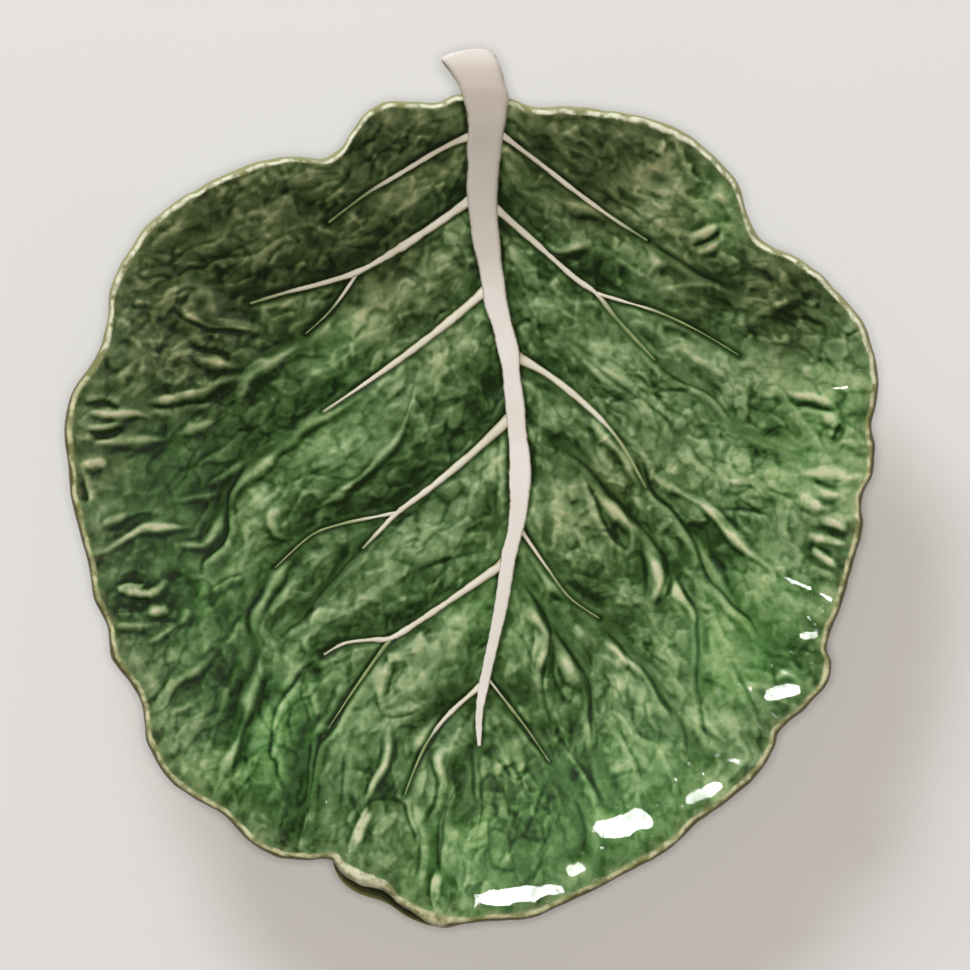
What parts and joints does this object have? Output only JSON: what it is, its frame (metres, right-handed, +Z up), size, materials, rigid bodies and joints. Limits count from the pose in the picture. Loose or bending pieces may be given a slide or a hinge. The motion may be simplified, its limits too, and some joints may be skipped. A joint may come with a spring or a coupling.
{
  "type": "leaf shaped plate",
  "caption": "Glazed earthenware serving plate shaped as a broad leaf: a veined, puckered dish with a wavy lip, a pale raised stalk that ends in a short handle tab, and a foot ring.",
  "frame": {"origin": "on the table under the middle of the plate's overall box", "axes": "+Y along the leaf towards the end of the stalk, +X to the right seen from above with the stalk away from the viewer, +Z up"},
  "size_m": [0.278, 0.3, 0.0443],
  "materials": {
    "green_glaze": "glossy translucent green glaze, pooled dark in the creases and thin and olive on the ridges",
    "cream_glaze": "glossy clear glaze over pale clay",
    "bare_clay": "unglazed fired clay where the plate stands"
  },
  "bodies": {
    "root": {"leaf_blade": "green_glaze", "foot_ring": "bare_clay", "stalk": "cream_glaze", "left_vein_1": "cream_glaze", "left_vein_2": "cream_glaze", "left_vein_3": "cream_glaze", "left_vein_4": "cream_glaze", "left_vein_5": "cream_glaze", "left_vein_6": "cream_glaze", "left_vein_2_fork": "cream_glaze", "left_vein_4_fork": "cream_glaze", "left_vein_5_fork": "green_glaze", "right_vein_1": "cream_glaze", "right_vein_2": "cream_glaze", "right_vein_3": "cream_glaze", "right_vein_4": "cream_glaze", "right_vein_5": "cream_glaze", "right_vein_2_fork": "cream_glaze"}
  },
  "joints": []
}
